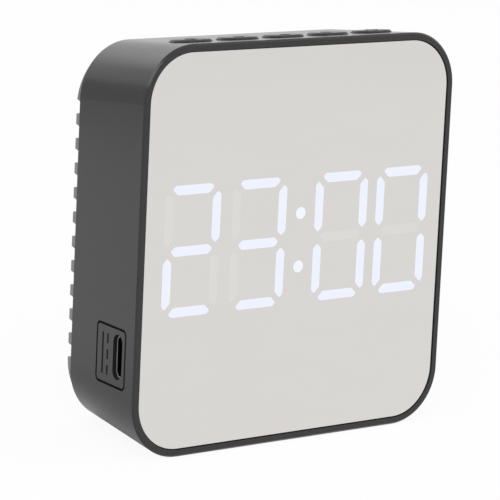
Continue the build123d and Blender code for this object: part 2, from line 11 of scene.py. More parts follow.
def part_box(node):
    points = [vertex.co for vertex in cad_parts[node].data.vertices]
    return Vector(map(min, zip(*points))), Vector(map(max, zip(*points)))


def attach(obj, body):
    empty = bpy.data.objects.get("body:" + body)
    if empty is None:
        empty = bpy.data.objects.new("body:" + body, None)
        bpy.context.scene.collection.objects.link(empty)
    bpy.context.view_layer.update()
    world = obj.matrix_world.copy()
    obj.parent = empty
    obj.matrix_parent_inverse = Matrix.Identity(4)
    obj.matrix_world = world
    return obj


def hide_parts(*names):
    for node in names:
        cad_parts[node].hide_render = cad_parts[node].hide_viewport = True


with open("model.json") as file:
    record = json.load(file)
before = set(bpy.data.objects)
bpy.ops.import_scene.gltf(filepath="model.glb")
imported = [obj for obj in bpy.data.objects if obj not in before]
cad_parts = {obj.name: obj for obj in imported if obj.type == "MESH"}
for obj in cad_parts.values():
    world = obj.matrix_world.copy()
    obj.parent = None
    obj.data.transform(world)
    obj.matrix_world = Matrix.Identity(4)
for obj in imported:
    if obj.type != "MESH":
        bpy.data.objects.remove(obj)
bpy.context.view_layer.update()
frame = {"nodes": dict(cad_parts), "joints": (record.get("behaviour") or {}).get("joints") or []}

bl_info = {
    "name": "LED desk clock looks",
    "version": (1, 0, 0),
    "blender": (4, 5, 0),
    "location": "View3D > Sidebar > Clock",
    "description": "Dresses the packed frame of a mirror-fronted LED desk clock",
    "category": "Object",
}

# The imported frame: its box, its nodes and the leaning axes of the clock, taken from a button's slide
NODES = frame["nodes"]
MAIN_BODY = "clock_body"
MM = 0.001
SLIDE = next(joint for joint in frame["joints"] if joint["name"] == "button_1_press")
RIGHT = Vector((1, 0, 0))
UP = -Vector(SLIDE["axis"]).normalized()
BACK = UP.cross(RIGHT)
LEAN = math.asin(UP.y)

# Sizes of the frame that the pieces are placed by, in millimetres as in the part's source
FACE_WIDTH = 80.0
FACE_HEIGHT = 83.5
CASE_DEPTH = 25.25
FACE = UP * (FACE_HEIGHT / 2 * MM) - Vector((0, CASE_DEPTH / math.cos(LEAN) / 2 * MM, 0))

# The drafted top and left walls: along each of them, and out of them
TOP_SLOPE = BACK * math.cos(LEAN) - UP * math.sin(LEAN)
TOP_NORMAL = RIGHT.cross(TOP_SLOPE)
LEFT_SLOPE = BACK * math.cos(LEAN) + RIGHT * math.sin(LEAN)
LEFT_NORMAL = UP.cross(LEFT_SLOPE)
FACING_BACK = (-math.pi / 2 - LEAN, 0, 0)

# Points this near, in millimetres, count as level, and signs and marks reach this deep into what carries them
LEVEL = 0.01
ROOT = 0.05

# Signs of the corners of a rectangle about its middle, turning left
QUARTERS = ((-1, -1), (1, -1), (1, 1), (-1, 1))


def spot(x, up, depth):
    """Point of the row frame at x, up and depth from the middle of the front rim, in millimetres."""
    return FACE + (RIGHT * x + UP * up + BACK * depth) * MM


def on_mirror(x, up, height):
    """Point at a height above the mirror's front."""
    return spot(x, up, MIRROR_FRONT - height)


def on_top(x, along, height):
    """Point at a height above the drafted top wall, along it from the front rim."""
    return spot(x, FACE_HEIGHT / 2, 0) + (TOP_SLOPE * along + TOP_NORMAL * height) * MM


def on_left(along, up, height):
    """Point at a height above the drafted left wall, along it from the front rim."""
    return spot(-FACE_WIDTH / 2, up, 0) + (LEFT_SLOPE * along + LEFT_NORMAL * height) * MM


def local(point):
    """A point of the row frame as x, up and depth in millimetres."""
    away = (point - FACE) / MM
    return away.dot(RIGHT), away.dot(UP), away.dot(BACK)


# Depth of the mirror's front face, in millimetres
MIRROR_FRONT = min(local(vertex.co)[2] for vertex in NODES["mirror_panel"].data.vertices)


def islands(node):
    """Each separate solid of a node as its corner points, from left to right and from top to bottom."""
    copy = bmesh.new()
    copy.from_mesh(NODES[node].data)
    bmesh.ops.remove_doubles(copy, verts=copy.verts, dist=1e-7)
    left = set(copy.verts)
    groups = []
    while left:
        waiting = [left.pop()]
        group = []
        while waiting:
            corner = waiting.pop()
            group.append(local(corner.co))
            near = [edge.other_vert(corner) for edge in corner.link_edges]
            waiting += [other for other in near if other in left]
            left.difference_update(near)
        groups.append(group)
    copy.free()
    return sorted(groups, key=lambda group: (round(middle(group)[0], 2), round(-middle(group)[1], 2)))


def middle(points):
    """Middle of the box round some points."""
    return [(min(values) + max(values)) / 2 for values in zip(*points)]


def middle_of(node):
    """Middle of a node, as x, up and depth in millimetres."""
    return middle([local(vertex.co) for vertex in NODES[node].data.vertices])


def levels(values):
    """The different values among some, from the lowest to the highest, a tenth of a millimetre apart."""
    found = []
    for value in sorted(values):
        if not found or value - found[-1] > 0.1:
            found.append(value)
    return found


def centred(points, depth):
    """Offsets from the middle of the points that lie at a depth."""
    x, up, _ = middle(points)
    return [(point[0] - x, point[1] - up) for point in points if abs(point[2] - depth) < LEVEL]


def turned_to(x_axis, y_axis, z_axis):
    """Turn that takes the three axes of a shape to three directions of the row frame."""
    return tuple(Matrix((x_axis, y_axis, z_axis)).transposed().to_euler())


# Sizes and colours that a user would change


def length(name, description, default):
    """A size in millimetres."""
    return FloatProperty(name=name, description=description, default=default, min=0.0)


def several(name, description, default, **limits):
    """Several sizes or places in millimetres."""
    return FloatVectorProperty(name=name, description=description, default=default, size=len(default), **limits)


def measured(name, description, default, unit):
    """A value in one of Blender's own units."""
    return FloatProperty(name=name, description=description, default=default, min=0.0, unit=unit)


def count(name, description, default):
    """A number of like parts."""
    return IntProperty(name=name, description=description, default=default, min=1)


def colour(name, description, default):
    """A linear colour."""
    return FloatVectorProperty(
        name=name, description=description, default=default, size=3, min=0.0, max=1.0, subtype="COLOR"
    )


def share(name, description, default):
    """A share from 0 to 1."""
    return FloatProperty(
        name=name, description=description, default=default, min=0.0, max=1.0, subtype="FACTOR"
    )


class ClockFinishes(bpy.types.PropertyGroup):
    """Colours and gloss of the case, the mirror, the buttons and the metal."""

    case_colour: colour("Case", "Matt moulded case", (0.020, 0.020, 0.0215))
    case_roughness: share("Case roughness", "Roughness of the matt case", 0.22)
    case_gloss: share("Case gloss", "Specular level of the matt case", 0.41)
    cover_colour: colour("Rear cover", "Ribbed back and battery door", (0.20, 0.20, 0.20))
    mirror_tint: colour("Mirror", "Tint of the half-silvered front", (0.697, 0.678, 0.653))
    button_colour: colour("Buttons", "Black rubber of the top buttons", (0.013, 0.013, 0.0135))
    # Painted shadow: the dark colour laid over the engraved mark and the groove's floor
    engraving_shadow_colour: colour("Engraving", "Shadow in the engraved mark and groove", (0.006, 0.006, 0.006))
    sleeve_colour: colour("Cell sleeve", "Plain sleeve of the cells", (0.055, 0.095, 0.135))
    band_colour: colour("Cell band", "Band at a cell's plus end", (0.46, 0.47, 0.48))
    metal_colour: colour("Plating", "Bright plating of socket and contacts", (0.75, 0.70, 0.62))
    steel_colour: colour("Screws", "Blackened steel of the screws", (0.16, 0.16, 0.17))


class ClockDisplay(bpy.types.PropertyGroup):
    """Seven-segment digits behind the mirror, in millimetres."""

    digit_places: several("Digits", "Middle of each digit to the right", (-26.9, -10.08, 11.26, 27.55))
    digit_rise: FloatProperty(name="Digit rise", description="Middle of the digits upwards", default=0.36)
    digit_width: length("Digit width", "Width of one digit", 13.85)
    digit_height: length("Digit height", "Height of one digit", 26.6)
    bar_length: length("Bar length", "Length of a level segment", 10.3)
    bar_stroke: length("Bar stroke", "Width of a level segment", 1.95)
    upright_stroke: length("Upright stroke", "Width of an upright segment", 2.1)
    gap: length("Gap", "Gap between segments", 1.36)
    tip_share: share("Tip share", "Where a corner tip lies across its stroke", 0.36)
    corner: length("Corner", "Rounding of a segment's corners", 0.4)
    dots_place: several("Dots", "Middle of the two dots to the right and upwards", (0.63, 0.3))
    dot_diameter: length("Dot diameter", "Diameter of the dots", 2.48)
    dot_rise: length("Dot rise", "Height of each dot from the middle of the two", 5.55)
    proud: length("Proud", "Thickness of the glow on the mirror", 0.03)
    veil: length("Veil", "Thickness of the veil over a dark segment", 0.004)
    lit_colour: colour("Lit segments", "Light of the segments", (0.795, 0.830, 0.940))
    dot_colour: colour("Lit dots", "Light of the dots", (0.820, 0.860, 0.940))
    dark_tint: colour("Dark segments", "Mirror over a dark segment", (0.716, 0.709, 0.690))


class ClockDetails(bpy.types.PropertyGroup):
    """Sizes of the small parts that the frame leaves plain, in millimetres."""

    sign_rise: length("Sign rise", "How far a button's sign stands out", 0.11)
    sign_size: length("Sign size", "Half height of a button's sign", 1.35)
    sign_stroke: length("Sign stroke", "Line width of a sign", 0.42)
    mark_stroke: length("Mark stroke", "Line width of the socket's mark", 0.62)
    mark_length: length("Mark length", "Length of the socket's mark up the wall", 8.6)
    mark_line: length("Mark line", "Place of the mark's line along the wall", 12.6)
    mark_dashes: length("Mark dashes", "Place of the mark's dashes along the wall", 10.7)
    dash_gap: length("Dash gap", "Gap between the mark's dashes", 1.15)
    groove_along: length("Groove along", "Middle of the groove along the left wall", 9.35)
    groove_below: length("Groove below", "How far the groove's middle lies under the socket's", 0.2)
    groove_size: several("Groove size", "Groove along and up the wall", (11.7, 12.5), min=0.0)
    groove_radius: length("Groove radius", "Corner radius of the groove", 1.3)
    groove_line: length("Groove line", "Width of the groove", 0.5)
    groove_depth: length("Groove depth", "Depth of the groove", 0.42)
    tongue_thickness: length("Tongue", "Thickness of the socket's tongue", 0.7)
    thread_rings: count("Threads", "Thread rings on a screw", 9)
    pad_count: count("Tongue pads", "Contact pads on each side of the tongue", 12)
    lead_count: count("Chip leads", "Leads on each side of the chip", 12)


class ClockStage(bpy.types.PropertyGroup):
    """Camera and light of the studio."""

    camera_place: FloatVectorProperty(
        name="Camera",
        description="Place of the camera",
        default=(-0.393914, -0.477317, 0.205798),
        subtype="TRANSLATION",
    )
    camera_turn: FloatVectorProperty(
        name="Camera turn",
        description="Turn of the camera",
        default=(math.radians(74.648), math.radians(-5.951), math.radians(-37.532)),
        subtype="EULER",
    )
    lens: FloatProperty(name="Lens", description="Focal length in millimetres", default=224.08, min=1.0)
    ambient: FloatProperty(name="Ambient", description="Light from all around", default=0.55, min=0.0)
    key_power: measured("Key", "Power of the key softbox", 4.0, "POWER")
    fill_power: measured("Fill", "Power of the fill and rear softboxes", 2.0, "POWER")
    card_grey: share("Grey card", "Brightness of the card that the left wall reflects", 0.57)
    floor_colour: colour("Floor", "Pale floor", (0.97, 0.97, 0.97))
    floor_glow: share("Floor glow", "How much of the floor is plain white to the camera", 0.93)
    shade_near: measured("Shade from", "Floor nearer to the left foot reflects as it is lit", 0.02, "LENGTH")
    shade_far: measured("Shade to", "Floor farther from the left foot reflects as white", 0.05, "LENGTH")


def settings(group):
    """One of the clock's property groups on the scene."""
    return getattr(bpy.context.scene, group)


# Nodes as expressions


class Wire:
    """One output socket, so that maths on nodes is written as an expression."""

    def __init__(self, sheet, socket):
        self.sheet = sheet
        self.socket = socket

    def maths(self, operation, first, second=0.0):
        return self.sheet.add("ShaderNodeMath", {"operation": operation}, {0: first, 1: second})

    def __add__(self, other):
        return self.maths("ADD", self, other)

    def __radd__(self, other):
        return self.maths("ADD", other, self)

    def __sub__(self, other):
        return self.maths("SUBTRACT", self, other)

    def __rsub__(self, other):
        return self.maths("SUBTRACT", other, self)

    def __mul__(self, other):
        return self.maths("MULTIPLY", self, other)

    def __rmul__(self, other):
        return self.maths("MULTIPLY", other, self)

    def __truediv__(self, other):
        return self.maths("DIVIDE", self, other)

    def __rtruediv__(self, other):
        return self.maths("DIVIDE", other, self)

    def __mod__(self, other):
        return self.maths("FLOORED_MODULO", self, other)

    def __lt__(self, other):
        return self.maths("LESS_THAN", self, other)

    def __gt__(self, other):
        return self.maths("GREATER_THAN", self, other)

    def __neg__(self):
        return self.maths("MULTIPLY", self, -1.0)

    def __abs__(self):
        return self.maths("ABSOLUTE", self)


class Sheet:
    """A node tree under construction."""

    def __init__(self, tree):
        self.tree = tree

    def add(self, kind, options=None, sockets=None, output=0):
        """New node with its options set first, then the values or links of its sockets."""
        node = self.tree.nodes.new(kind)
        for name, value in (options or {}).items():
            setattr(node, name, value)
        for name, value in (sockets or {}).items():
            for part in value if isinstance(value, list) else [value]:
                if isinstance(part, Wire):
                    self.tree.links.new(part.socket, node.inputs[name])
                else:
                    node.inputs[name].default_value = part
        return Wire(self, node.outputs[output]) if node.outputs else None


class Finish(Sheet):
    """A material under construction, on the coordinates of the row frame."""

    def __init__(self, name, **constants):
        self.material = bpy.data.materials.new(name)
        self.material.use_nodes = True
        super().__init__(self.material.node_tree)
        self.shader = next(node for node in self.tree.nodes if node.type == "BSDF_PRINCIPLED")
        self.place = self.add("ShaderNodeTexCoord", output="Object")
        for socket, value in constants.items():
            self.give(socket.replace("_", " "), value)

    def give(self, socket, value):
        """Set or link one of the shader's sockets."""
        if isinstance(value, Wire):
            self.tree.links.new(value.socket, self.shader.inputs[socket])
        else:
            self.shader.inputs[socket].default_value = value

    def axis(self, letter):
        """One coordinate of the row frame, in metres."""
        return self.add("ShaderNodeSeparateXYZ", None, {0: self.place}, output=letter)

    def distance(self, origin, direction):
        """How far the surface lies from an origin in one direction, in millimetres."""
        reach = self.add(
            "ShaderNodeVectorMath", {"operation": "DOT_PRODUCT"}, {0: self.place, 1: direction}, output="Value"
        )
        return (reach - origin.dot(direction)) / MM

    def stretched(self, x, y, z):
        """Coordinates scaled by axis, turned with the clock's lean."""
        return self.add(
            "ShaderNodeMapping", None, {"Vector": self.place, "Rotation": (LEAN, 0, 0), "Scale": (x, y, z)}
        )

    def noise(self, size, detail=2.0, place=None):
        """Soft noise whose grains are about size millimetres."""
        sockets = {"Vector": place or self.place, "Scale": 1 / (size * MM), "Detail": detail}
        return self.add("ShaderNodeTexNoise", None, sockets)

    def cells(self, size, feature="F1"):
        """Distance inside or to the edge of cells of about size millimetres."""
        sockets = {"Vector": self.place, "Scale": 1 / (size * MM)}
        return self.add("ShaderNodeTexVoronoi", {"feature": feature}, sockets)

    def mix(self, factor, first, second):
        """Colour between two colours, through the colour sockets of a Mix node."""
        pair = [part if isinstance(part, Wire) else (*part, 1.0) for part in (first, second)]
        return self.add("ShaderNodeMix", {"data_type": "RGBA"}, {0: factor, 6: pair[0], 7: pair[1]}, output=2)

    def shade(self, base, factor):
        """Colour made lighter or darker by a factor."""
        return self.add("ShaderNodeVectorMath", {"operation": "SCALE"}, {0: base, "Scale": factor})

    def emboss(self, height, distance, strength=1.0):
        """Relief of so many millimetres."""
        sockets = {"Height": height, "Distance": distance * MM, "Strength": strength}
        self.give("Normal", self.add("ShaderNodeBump", None, sockets))


def moulded_plastic(name, base, roughness, grain=0.22, relief=0.010, gloss=0.5, painted_slot_shade=None):
    """Spark-eroded moulding: fine grain, faint flow clouds, uneven gloss, and painted shade that darkens it
    inside a slot.
    """
    finish = Finish(name, Specular_IOR_Level=gloss)
    speckle = finish.noise(grain, detail=3.0)
    cloud = finish.noise(13.0)
    lightness = 0.92 + speckle * 0.08 + cloud * 0.08
    dullness = roughness - 0.07 + speckle * 0.08 + cloud * 0.06
    # Painted shade: the colour is darkened on the slot's walls, where shade falls in the recess; the roughness
    # is raised there too
    if painted_slot_shade:
        shade_in_slot = painted_slot_shade(finish)
        lightness = lightness * (1 - shade_in_slot * 0.85)
        dullness = dullness + shade_in_slot * 0.6
    finish.give("Base Color", finish.shade(base, lightness))
    finish.give("Roughness", dullness)
    finish.emboss(speckle, relief, 0.6)
    return finish.material


# The slot of the side socket, where the case is darkened with painted shade, in millimetres: its start and end
# in the wall, half its height and half its width
SLOT_LIP = 0.08
SLOT_END = 6.0
SLOT_HALF_UP = 4.9
SLOT_HALF_BACK = 2.0


def slot_shade_mask(finish):
    """1 on the walls of the slot that the side socket lies in, from just below the face of the left wall: the
    mask of the painted shade there.
    """
    shell = spot(*middle_of("usb_shell"))
    sunk = -finish.distance(on_left(0, 0, 0), LEFT_NORMAL)
    upwards = abs(finish.distance(shell, UP)) < SLOT_HALF_UP
    backwards = abs(finish.distance(shell, BACK)) < SLOT_HALF_BACK
    return (sunk > SLOT_LIP) * (sunk < SLOT_END) * upwards * backwards


def soft_rubber(name, base, gloss=0.12, roughness=0.62):
    """Dull rubber with a dusty grain and hardly any sheen."""
    finish = Finish(name, Specular_IOR_Level=gloss)
    dust = finish.noise(0.4, detail=4.0)
    cloud = finish.noise(4.0)
    finish.give("Base Color", finish.shade(base, 0.8 + dust * 0.25 + cloud * 0.15))
    finish.give("Roughness", roughness + dust * 0.12 + cloud * 0.06)
    finish.emboss(dust, 0.006, 0.5)
    return finish.material


def printed_sleeve(name, base):
    """Shrunk printed film: glossy, with fine lengthwise wrinkles."""
    finish = Finish(name)
    wrinkle = finish.noise(0.5, detail=3.0, place=finish.stretched(0.05, 1, 1))
    cloud = finish.noise(5.0)
    finish.give("Base Color", finish.shade(base, 0.9 + wrinkle * 0.1 + cloud * 0.1))
    finish.give("Roughness", 0.18 + wrinkle * 0.08 + cloud * 0.04)
    finish.emboss(wrinkle, 0.01, 0.3)
    return finish.material


def socket_plating(name, base, mouth):
    """Plating that is bright at the mouth of the socket and dull and dark further in, where the darkness is
    painted shade of the deep socket.
    """
    finish = Finish(name, Metallic=1.0)
    lines = finish.noise(0.12, detail=3.0, place=finish.stretched(0.06, 1, 1))
    # Painted shade: past the mouth the plating's colour turns near black, where shade falls inside the socket
    inside = (finish.axis("X") / MM - mouth) > 0.06
    worn = finish.shade(base, 0.8 + lines * 0.3)
    finish.give("Base Color", finish.mix(inside, worn, (0.02, 0.018, 0.016)))
    finish.give("Roughness", 0.46 + lines * 0.12)
    finish.emboss(lines, 0.003, 0.5)
    return finish.material


def gloss_moulding(name, base, roughness=0.2):
    """Polished moulding with faint sink marks and dust-fine scratches."""
    finish = Finish(name)
    cloud = finish.noise(3.0)
    scratch = finish.noise(0.3, place=finish.stretched(1, 1, 0.08))
    finish.give("Base Color", finish.shade(base, 0.94 + cloud * 0.12))
    finish.give("Roughness", roughness - 0.03 + scratch * 0.08 + cloud * 0.04)
    finish.emboss(cloud, 0.006, 0.4)
    return finish.material


def mirror_coat(name, tint):
    """Half-silvered panel: a flat mirror with the faintest wiping marks."""
    finish = Finish(name, Metallic=1.0)
    wipe = finish.noise(9.0, detail=4.0, place=finish.stretched(0.5, 1, 1.6))
    finish.give("Base Color", finish.shade(tint, 0.988 + wipe * 0.024))
    finish.give("Roughness", 0.015 + wipe * 0.03)
    return finish.material


def glowing_resin(name, light):
    """Light guide that glows, a touch stronger over its lamp than at its ends."""
    finish = Finish(name, Emission_Strength=1.0, Roughness=0.35)
    finish.give("Base Color", (0.02, 0.02, 0.02, 1.0))
    bloom = finish.noise(2.2)
    finish.give("Emission Color", finish.shade(light, 0.985 + bloom * 0.03))
    return finish.material


def plated_metal(name, base, roughness=0.22, along=(1, 1, 0.06)):
    """Bright plating with fine drawing lines and slight tarnish."""
    finish = Finish(name, Metallic=1.0)
    lines = finish.noise(0.12, detail=3.0, place=finish.stretched(*along))
    tarnish = finish.noise(2.5)
    finish.give("Base Color", finish.shade(base, 0.82 + lines * 0.16 + tarnish * 0.16))
    finish.give("Roughness", roughness - 0.05 + lines * 0.12 + tarnish * 0.08)
    finish.emboss(lines, 0.003, 0.5)
    return finish.material


def solder_mask(name):
    """Circuit board: green mask over copper runs, with tinned pads."""
    finish = Finish(name)
    run = finish.cells(2.4, "DISTANCE_TO_EDGE") < 0.05
    pad = finish.cells(1.9) < 0.13
    weave = finish.noise(0.35, detail=3.0)
    laminate = finish.shade((0.012, 0.10, 0.035), 0.85 + weave * 0.3)
    tracked = finish.mix(run, laminate, (0.035, 0.20, 0.07))
    finish.give("Base Color", finish.mix(pad, tracked, (0.62, 0.60, 0.55)))
    finish.give("Metallic", pad * 0.9)
    finish.give("Roughness", 0.32 + weave * 0.1 - pad * 0.08)
    finish.emboss(run * 0.6 + pad, 0.03, 0.7)
    return finish.material


def tinned_chips(name, body, cap, pitch, column, width):
    """Small ceramic parts whose two ends are tinned, in columns of one pitch."""
    finish = Finish(name)
    place = (finish.axis("X") / MM - column + pitch / 2) % pitch
    end = abs(place - pitch / 2) > width * 0.3
    fleck = finish.noise(0.2)
    ceramic = finish.shade(body, 0.85 + fleck * 0.3)
    finish.give("Base Color", finish.mix(end, ceramic, cap))
    finish.give("Metallic", end * 0.9)
    finish.give("Roughness", 0.5 - end * 0.2 + fleck * 0.1)
    return finish.material


def foam_tape(name, base):
    """Adhesive foam with open pores."""
    finish = Finish(name)
    pores = finish.cells(0.35)
    finish.give("Base Color", finish.shade(base, 0.75 + pores * 0.4))
    finish.give("Roughness", 0.85 + pores * 0.1)
    finish.emboss(pores, 0.05, 0.6)
    return finish.material


def clothe(node, material):
    """Give a node of the frame its finish."""
    piece = NODES[node]
    piece.data.materials.clear()
    piece.data.materials.append(material)


# Meshes


def skin(shape, loops, ring=False):
    """Closed skin through loops of equal length: capped at both ends, or joined round as a ring."""
    rows = [[shape.verts.new(point) for point in loop] for loop in loops]
    pairs = list(zip(rows, rows[1:]))
    if ring:
        pairs.append((rows[-1], rows[0]))
    for low, high in pairs:
        for i in range(len(low)):
            after = (i + 1) % len(low)
            shape.faces.new((low[i], low[after], high[after], high[i]))
    if not ring:
        shape.faces.new(list(reversed(rows[0])))
        shape.faces.new(rows[-1])


def finished_mesh(name, shape, smooth_angle=None):
    """Plain mesh from a shape, its faces pointing outwards."""
    bmesh.ops.recalc_face_normals(shape, faces=shape.faces)
    mesh = bpy.data.meshes.new(name)
    shape.to_mesh(mesh)
    shape.free()
    if smooth_angle is not None:
        mesh.shade_smooth()
        mesh.set_sharp_from_angle(angle=math.radians(smooth_angle))
    return mesh


def put(name, data):
    """New object of the scene."""
    thing = bpy.data.objects.new(name, data)
    bpy.context.scene.collection.objects.link(thing)
    return thing


def add_piece(mesh, materials, body=MAIN_BODY):
    """Finished mesh as a piece at the origin that rides on a body."""
    piece = put(mesh.name, mesh)
    for material in materials:
        mesh.materials.append(material)
    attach(piece, body)


def moved_in(points, distance):
    """Closed outline, turning left, moved inwards by a distance."""
    moved = []
    for before, here, after in zip(points[-1:] + points[:-1], points, points[1:] + points[:1]):
        arriving = (here - before).normalized()
        leaving = (after - here).normalized()
        inwards = Vector((-arriving.y - leaving.y, arriving.x + leaving.x)).normalized()
        square = max(0.3, inwards.dot(Vector((-arriving.y, arriving.x))))
        moved.append(here + inwards * (distance / square))
    return moved


def rounded(points, reach, steps=4):
    """Closed outline whose corners are curves that start reach before each corner."""
    curve = []
    for before, here, after in zip(points[-1:] + points[:-1], points, points[1:] + points[:1]):
        start = here + (before - here).normalized() * min(reach, (before - here).length / 2.2)
        end = here + (after - here).normalized() * min(reach, (after - here).length / 2.2)
        for i in range(steps + 1):
            t = i / steps
            curve.append(start * (1 - t) ** 2 + here * (2 * t * (1 - t)) + end * t ** 2)
    return curve


def circle(x, y, radius, steps=32):
    """Closed circle, turning left."""
    turns = [2 * math.pi * i / steps for i in range(steps)]
    return [Vector((x + radius * math.cos(turn), y + radius * math.sin(turn))) for turn in turns]


def bar(start, end, stroke):
    """Closed outline of a straight stroke with rounded ends."""
    start, end = Vector(start), Vector(end)
    along = (end - start).normalized() * (stroke / 2)
    side = Vector((-along.y, along.x))
    corners = [start - along - side, end + along - side, end + along + side, start - along + side]
    return rounded(corners, stroke / 2)


def raised(shape, outline, place, low, high, soft):
    """Plate over a closed outline, from one height to another, with a softened top edge."""
    heights = ((outline, low), (outline, high - soft), (moved_in(outline, soft), high))
    skin(shape, [[place(p.x, p.y, height) for p in loop] for loop, height in heights])


def raised_ring(shape, outer, stroke, place, low, high, soft):
    """Raised line that runs along the inside of a closed outline."""
    climb = ((0.0, low), (0.0, high - soft), (soft, high))
    fall = ((stroke - soft, high), (stroke, high - soft), (stroke, low))
    loops = [(moved_in(outer, inset) if inset else outer, height) for inset, height in climb + fall]
    skin(shape, [[place(p.x, p.y, height) for p in loop] for loop, height in loops], ring=True)


# Geometry Nodes


class Recipe(Sheet):
    """A Geometry Nodes tree under construction, with named inputs for its sizes."""

    def __init__(self, name):
        super().__init__(bpy.data.node_groups.new(name, "GeometryNodeTree"))
        self.tree.interface.new_socket("Geometry", in_out="INPUT", socket_type="NodeSocketGeometry")
        self.tree.interface.new_socket("Geometry", in_out="OUTPUT", socket_type="NodeSocketGeometry")
        self.entry = self.tree.nodes.new("NodeGroupInput")
        self.ends = self.tree.nodes.new("NodeGroupOutput")
        self.identifiers = {}

    def size(self, name, kind="Float"):
        """New named input."""
        item = self.tree.interface.new_socket(name, in_out="INPUT", socket_type="NodeSocket" + kind)
        self.identifiers[name] = item.identifier
        return Wire(self, self.entry.outputs[name])

    def sizes(self, *names):
        """Several named inputs."""
        return [self.size(name) for name in names]

    def points(self):
        """The vertices that the tree is run on."""
        return Wire(self, self.entry.outputs["Geometry"])

    def vector(self, x=0.0, y=0.0, z=0.0):
        return self.add("ShaderNodeCombineXYZ", None, {"X": x, "Y": y, "Z": z})

    def moved(self, geometry, place):
        return self.add("GeometryNodeTransform", None, {"Geometry": geometry, "Translation": place})

    def cone(self, low, high, height, base=0.0, steps=28):
        """Open side of a cone or cylinder that starts at a height."""
        sockets = {"Vertices": steps, "Radius Top": high, "Radius Bottom": low, "Depth": height}
        side = self.add("GeometryNodeMeshCone", {"fill_type": "NONE"}, sockets)
        return self.moved(side, self.vector(z=base))

    def disc(self, radius, height, steps=28):
        """Flat end at a height."""
        sockets = {"Vertices": steps, "Radius": radius}
        flat = self.add("GeometryNodeMeshCircle", {"fill_type": "NGON"}, sockets)
        return self.moved(flat, self.vector(z=height))

    def block(self, x, y, z, place):
        """Box of three sizes at a place."""
        box = self.add("GeometryNodeMeshCube", None, {"Size": self.vector(x, y, z)})
        return self.moved(box, place)

    def join(self, parts):
        return self.add("GeometryNodeJoinGeometry", None, {"Geometry": parts})

    def welded(self, parts):
        """Parts joined into one closed skin."""
        return self.add("GeometryNodeMergeByDistance", None, {"Geometry": self.join(parts), "Distance": 1e-6})

    def repeat(self, points, shape, turn):
        """A shape on every point, turned alike."""
        sockets = {"Points": points, "Instance": shape, "Rotation": turn}
        return self.add("GeometryNodeInstanceOnPoints", None, sockets)

    def real(self, geometry):
        return self.add("GeometryNodeRealizeInstances", None, {"Geometry": geometry})

    def line(self, shape, number, start, offset):
        """A shape a number of times along a straight line."""
        sockets = {"Count": number, "Start Location": start, "Offset": offset}
        return self.real(self.repeat(self.add("GeometryNodeMeshLine", None, sockets), shape, (0, 0, 0)))

    def row(self, shape, number, pitch):
        """A shape a number of times along x about the middle."""
        return self.line(shape, number, self.vector(x=(number - 1) * pitch * -0.5), self.vector(x=pitch))

    def close(self, geometry, material):
        """End of the tree: real geometry with its material."""
        sockets = {"Geometry": self.real(geometry), "Material": material}
        dressed = self.add("GeometryNodeSetMaterial", None, sockets)
        self.tree.links.new(dressed.socket, self.ends.inputs["Geometry"])

    def make(self, name, places, sizes, slot):
        """Run the tree on points and keep the result as a piece with a plain mesh."""
        seeds = bpy.data.meshes.new(name + "_points")
        seeds.from_pydata([tuple(place) for place in places], [], [])
        piece = put(name, seeds)
        modifier = piece.modifiers.new("Recipe", "NODES")
        modifier.node_group = self.tree
        for size, value in sizes.items():
            modifier[self.identifiers[size]] = value
        graph = bpy.context.evaluated_depsgraph_get()
        mesh = bpy.data.meshes.new_from_object(piece.evaluated_get(graph))
        if not mesh.polygons:
            raise RuntimeError(f"{name} came out empty")
        piece.modifiers.clear()
        piece.data = mesh
        mesh.name = name
        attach(piece, MAIN_BODY)
        return piece


def screw_recipe(material):
    """Cross-head screws: a domed head with a cross recess on a shank of thread rings."""
    recipe = Recipe("Cross-head screw")
    head, height, shank, reach = recipe.sizes("Head radius", "Head height", "Shank radius", "Shank length")
    rings = recipe.size("Thread rings", "Int")
    seed = recipe.size("Seed", "Int")
    body = recipe.welded([
        recipe.disc(head, 0.0),
        recipe.cone(head, head, height * 0.45),
        recipe.cone(head, head * 0.86, height * 0.35, height * 0.45),
        recipe.cone(head * 0.86, head * 0.55, height * 0.2, height * 0.8),
        recipe.disc(head * 0.55, height),
    ])
    arm = head * 1.15
    slot = head * 0.24
    sunk = height * 1.1
    cross = recipe.join([
        recipe.block(arm, slot, sunk, recipe.vector(z=height)),
        recipe.block(slot, arm, sunk, recipe.vector(z=height)),
    ])
    cut = recipe.add(
        "GeometryNodeMeshBoolean",
        {"operation": "DIFFERENCE", "solver": "EXACT"},
        {"Mesh 1": body, "Mesh 2": cross, "Self Intersection": True},
    )
    step = reach / rings
    tooth = recipe.join([
        recipe.cone(shank * 0.78, shank, step * 0.5, steps=16),
        recipe.cone(shank, shank * 0.78, step * 0.5, step * 0.5, steps=16),
    ])
    thread = recipe.line(tooth, rings, recipe.vector(z=-reach), recipe.vector(z=step))
    point = recipe.disc(shank * 0.78, -reach, steps=16)
    shaft = recipe.welded([thread, point])
    spin = recipe.add(
        "FunctionNodeRandomValue",
        {"data_type": "FLOAT_VECTOR"},
        {0: (0, 0, 0), 1: (0, 0, 2 * math.pi), "Seed": seed},
    )
    placed = recipe.repeat(recipe.points(), recipe.join([cut, shaft]), FACING_BACK)
    spun = recipe.add("GeometryNodeRotateInstances", None, {"Instances": placed, "Rotation": spin})
    recipe.close(spun, material)
    return recipe


def row_recipe(name, material):
    """Rows of small blocks with one pitch, turned alike."""
    recipe = Recipe(name)
    number = recipe.size("Count", "Int")
    turn = recipe.size("Turn", "Vector")
    pitch, across, along, thick = recipe.sizes("Pitch", "Block x", "Block y", "Block z")
    row = recipe.row(recipe.block(across, along, thick, recipe.vector()), number, pitch)
    recipe.close(recipe.repeat(recipe.points(), row, turn), material)
    return recipe


